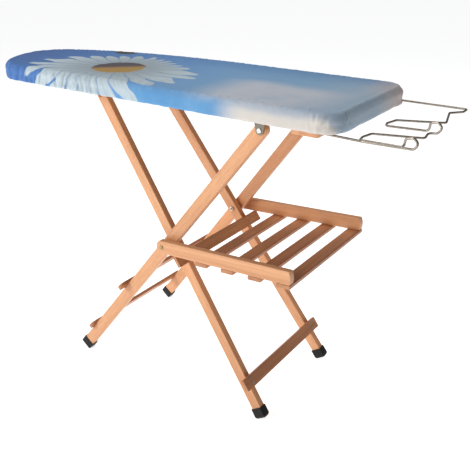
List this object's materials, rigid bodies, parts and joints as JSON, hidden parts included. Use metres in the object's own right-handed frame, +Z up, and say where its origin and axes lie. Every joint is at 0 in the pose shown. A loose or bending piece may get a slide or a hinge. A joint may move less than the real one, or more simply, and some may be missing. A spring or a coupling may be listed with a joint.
{
  "type": "folding ironing board",
  "caption": "Folding wooden ironing board with crossed legs, a padded blue cloth cover, a wire iron rest and a slatted linen shelf.",
  "frame": {"origin": "on the floor, midway along the overall length and midway across, straight below the bolt line where the leg frames cross", "axes": "+Z up, +X along the board towards the square end and iron rest, -X towards the nose, Y across the board"},
  "size_m": [1.382, 0.45, 0.917],
  "materials": {
    "beech": "sanded steamed beech with a thin clear lacquer",
    "core_board": "hardboard, brown, smooth underneath",
    "felt": "thick needled felt",
    "cover_cloth": "printed cotton in blues with a pale flower",
    "elastic": "woven elastic cord",
    "rubber": "moulded black rubber, satin",
    "rest_wire": "drawn steel wire, lightly plated",
    "bracket_paint": "grey-beige enamel",
    "bright_metal": "nickel plated",
    "dark_metal": "aged brass plate",
    "spacer_plastic": "plain moulded plastic",
    "screw_metal": "zinc plated"
  },
  "bodies": {
    "outer_legs": {"outer_leg_front": "beech", "outer_leg_back": "beech", "outer_crossbar_upper": "beech", "outer_crossbar_lower": "beech", "outer_crossbar_screws": "screw_metal", "outer_foot_front": "rubber", "outer_foot_back": "rubber", "pivot_bolt_front": "dark_metal", "pivot_bolt_back": "dark_metal", "pivot_nut_front": "bright_metal", "pivot_nut_back": "bright_metal", "leg_washer_front": "bright_metal", "leg_washer_back": "bright_metal", "shelf_spacer_front": "spacer_plastic", "shelf_spacer_back": "spacer_plastic"},
    "inner_legs": {"inner_leg_front": "beech", "inner_leg_back": "beech", "inner_crossbar_upper": "beech", "inner_crossbar_lower": "beech", "inner_crossbar_screws": "screw_metal", "top_dowel": "beech", "inner_foot_front": "rubber", "inner_foot_back": "rubber"},
    "board": {"board_core": "core_board", "board_pad": "felt", "board_cover": "cover_cloth", "hem_cord": "elastic", "cross_batten": "beech", "batten_screws": "screw_metal", "iron_rest": "rest_wire", "notch_rack_front": "beech", "notch_rack_back": "beech", "rack_screws": "screw_metal", "hinge_bracket_front": "bracket_paint", "hinge_bracket_back": "bracket_paint", "bracket_screws": "screw_metal", "hinge_rivet_front": "bright_metal", "hinge_rivet_back": "bright_metal"},
    "shelf": {"shelf_rail_front": "beech", "shelf_rail_back": "beech", "shelf_slat_1": "beech", "shelf_slat_2": "beech", "shelf_slat_3": "beech", "shelf_slat_4": "beech", "shelf_screws": "screw_metal"}
  },
  "joints": [
    {"name": "leg_fold", "type": "hinge", "parent": "outer_legs", "child": "inner_legs", "pos_m": [0, 0, 0.47], "axis": [0, 1, 0], "range_deg": [0, 70]},
    {"name": "board_tilt", "type": "hinge", "parent": "outer_legs", "child": "board", "pos_m": [0.28745, 0, 0.84058], "axis": [0, 1, 0], "range_deg": [0, 35]},
    {"name": "shelf_fold", "type": "hinge", "parent": "outer_legs", "child": "shelf", "pos_m": [0, 0, 0.47], "axis": [0, -1, 0], "range_deg": [0, 48]}
  ],
  "couplings": [
    {"joint": "board_tilt", "follows": "leg_fold", "ratio": 0.5}
  ]
}
